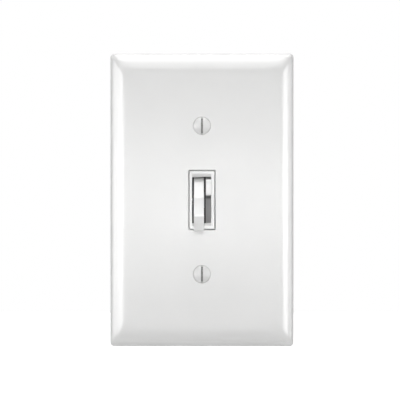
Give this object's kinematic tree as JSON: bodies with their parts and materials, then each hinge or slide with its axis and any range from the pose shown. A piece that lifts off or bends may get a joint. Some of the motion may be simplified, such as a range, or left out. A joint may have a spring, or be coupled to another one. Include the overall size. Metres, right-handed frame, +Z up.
{
  "type": "dimmer slide switch",
  "caption": "White wall dimmer with an on/off toggle and a slide brightness control, on its domed wall plate, with strap, works and back body.",
  "frame": {"origin": "centre of the wall plate's outline, on the plane where its rim meets the wall", "axes": "+X to the right seen from the room, +Y into the wall, +Z up"},
  "size_m": [0.0746, 0.0518, 0.119],
  "materials": {
    "white_nylon": "smooth moulded nylon, satin gloss",
    "white_paint": "white enamel on steel",
    "strap_aluminium": "rolled and stamped, satin",
    "zinc_steel": "bright zinc plate",
    "fibre_card": "pressed fish paper",
    "bright_steel": "bright drawn",
    "spring_steel": "drawn wire",
    "grey_plastic": "matt grey strip",
    "natural_nylon": "natural nylon",
    "brown_phenolic": "moulded phenolic",
    "brass": "stamped brass",
    "silver_contact": "silver alloy",
    "tinned_copper": "dull tin plate",
    "black_steel": "black oxide",
    "green_steel": "green dyed zinc plate",
    "board_laminate": "paper laminate",
    "black_epoxy": "moulded epoxy",
    "mica_pad": "thermal pad",
    "core_paint": "epoxy paint on iron powder",
    "copper_enamel": "enamelled copper wire",
    "red_epoxy": "dipped epoxy",
    "yellow_film": "polyester film case",
    "blue_glass": "glass body",
    "resistor_coat": "lacquer coat",
    "dark_thermoset": "moulded thermoset"
  },
  "bodies": {
    "frame": {"wall_plate": "white_nylon", "plate_screws": "white_paint", "mounting_strap": "strap_aluminium", "box_screws": "zinc_steel", "screw_retainers": "fibre_card", "front_housing": "white_nylon", "toggle_pin": "bright_steel", "pot_case": "bright_steel", "pot_track": "brown_phenolic", "pot_pins": "tinned_copper", "switch_base": "brown_phenolic", "rocker_pin": "bright_steel", "fixed_contacts": "silver_contact", "common_terminal": "brass", "traveller_terminal_upper": "brass", "traveller_terminal_lower": "brass", "traveller_screws": "brass", "common_screw": "black_steel", "earth_screw": "green_steel", "circuit_board": "board_laminate", "triac_body": "black_epoxy", "triac_tab": "tinned_copper", "triac_pad": "mica_pad", "triac_screw": "zinc_steel", "choke_core": "core_paint", "choke_winding": "copper_enamel", "filter_capacitor": "red_epoxy", "timing_capacitor": "yellow_film", "diac": "blue_glass", "resistors": "resistor_coat", "back_body": "dark_thermoset", "body_screws": "zinc_steel"},
    "toggle": {"toggle_lever": "white_nylon", "plunger_spring": "spring_steel"},
    "plunger": {"toggle_plunger": "bright_steel"},
    "rocker": {"contact_rocker": "brass", "rocker_contacts": "silver_contact"},
    "slide": {"slide_knob": "white_nylon", "slide_shutter": "grey_plastic", "slide_carriage": "natural_nylon", "pot_lever": "natural_nylon", "pot_wiper": "brass"}
  },
  "joints": [
    {"name": "toggle_flip", "type": "hinge", "parent": "frame", "child": "toggle", "pos_m": [0, 0.001, 0], "axis": [-1, 0, 0], "range_deg": [0, 50]},
    {"name": "plunger_press", "type": "slide", "parent": "toggle", "child": "plunger", "axis": [0, -0.9063, -0.4226], "range_m": [0, 0.0006], "stiffness_N_per_m": 200, "deforming": ["plunger_spring"]},
    {"name": "rocker_rock", "type": "hinge", "parent": "frame", "child": "rocker", "pos_m": [0, 0.01292, 0], "axis": [1, 0, 0], "range_deg": [0, 16]},
    {"name": "brightness_slide", "type": "slide", "parent": "frame", "child": "slide", "axis": [0, 0, -1], "range_m": [0, 0.0107]}
  ],
  "couplings": [
    {"joint": "rocker_rock", "follows": "toggle_flip", "ratio": 0.32}
  ]
}
